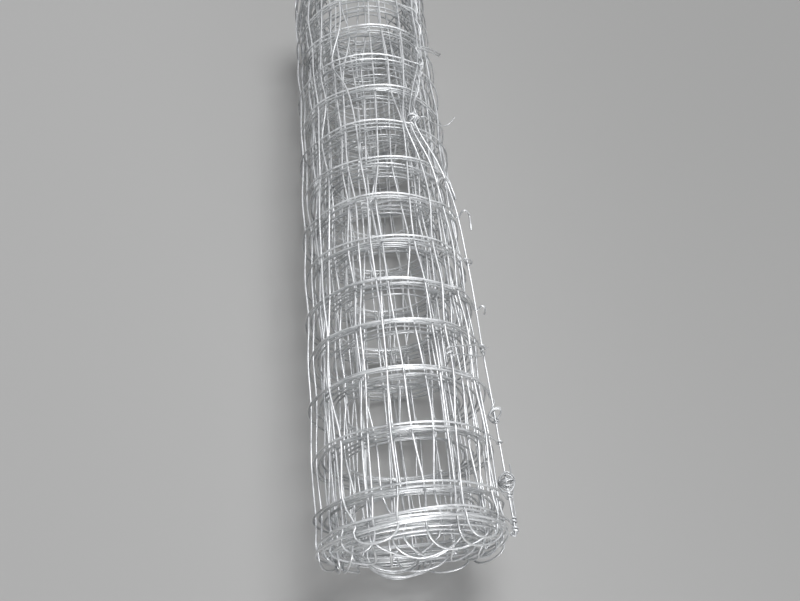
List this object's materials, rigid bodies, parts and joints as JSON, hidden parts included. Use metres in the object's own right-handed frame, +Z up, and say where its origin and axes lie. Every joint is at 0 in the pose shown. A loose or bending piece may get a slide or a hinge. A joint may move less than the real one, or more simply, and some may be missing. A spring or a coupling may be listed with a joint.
{
  "type": "roll of mining wire mesh",
  "caption": "Loose roll of coarse woven galvanised wire mesh lying on its side, open through its core, with bowed wire ends and thin wire ties along its free edge.",
  "frame": {"origin": "on the ground under the middle of the roll", "axes": "+Y along the roll's axis, from the near end to the far end; +Z up; the tied free edge is on the +X side"},
  "size_m": [0.2832, 1.198, 0.282],
  "materials": {
    "mesh_wire": "drawn steel wire, hot-dip galvanised, dull silver grey",
    "tie_wire": "thin galvanised tying wire, dull grey"
  },
  "bodies": {
    "root": {"mesh_roll": "mesh_wire", "tie_wire_near": "tie_wire", "tie_wire_middle": "tie_wire", "tie_wire_far": "tie_wire"}
  },
  "joints": []
}
